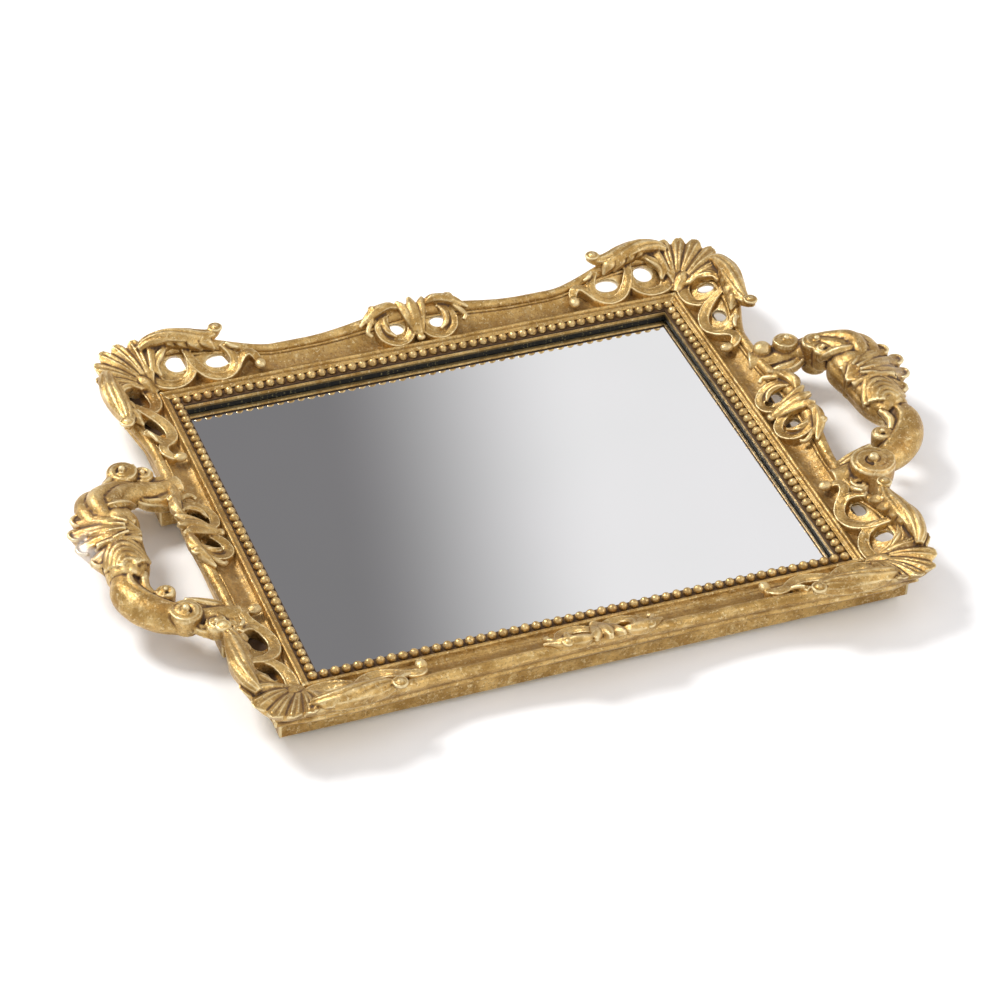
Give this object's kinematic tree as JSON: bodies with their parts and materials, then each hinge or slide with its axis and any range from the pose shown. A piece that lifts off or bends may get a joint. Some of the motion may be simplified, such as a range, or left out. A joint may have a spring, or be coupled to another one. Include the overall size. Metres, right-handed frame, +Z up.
{
  "type": "vanity tray",
  "caption": "Shallow rectangular mirrored tray in a gilt, pierced rococo scroll frame, with a beaded sight edge and a scroll handle on each short side.",
  "frame": {"origin": "on the resting surface under the middle of the tray", "axes": "+X along the long side towards the right handle, +Y towards the back rail, +Z up"},
  "size_m": [0.406, 0.271, 0.0339],
  "materials": {
    "gilt_moulding": "antique gold leaf over cast composition",
    "gilt_beads": "antique gold leaf over cast composition",
    "gilt_ornament": "antique gold leaf over cast composition",
    "gilt_handle": "antique gold leaf over cast composition, worn pale on the high spots",
    "mirror": "plain silvered plate",
    "backing_paint": "grey backing paint",
    "tape": "dark foam glazing tape",
    "board": "plain brown board",
    "felt": "dark green felt",
    "points": "plain steel",
    "screws": "plain steel",
    "feet": "dark rubber"
  },
  "bodies": {
    "root": {"rail_front": "gilt_moulding", "rail_back": "gilt_moulding", "rail_left": "gilt_moulding", "rail_right": "gilt_moulding", "bead_strip_front": "gilt_beads", "bead_strip_back": "gilt_beads", "bead_strip_left": "gilt_beads", "bead_strip_right": "gilt_beads", "corner_scroll_front_left": "gilt_ornament", "corner_scroll_front_right": "gilt_ornament", "corner_scroll_back_left": "gilt_ornament", "corner_scroll_back_right": "gilt_ornament", "crest_front": "gilt_ornament", "crest_back": "gilt_ornament", "crest_left": "gilt_ornament", "crest_right": "gilt_ornament", "handle_left": "gilt_handle", "handle_right": "gilt_handle", "mirror_glass": "mirror", "mirror_paint": "backing_paint", "glazing_tape": "tape", "backing_board": "board", "base_felt": "felt", "glazing_points": "points", "handle_screws": "screws", "rubber_feet": "feet"}
  },
  "joints": []
}
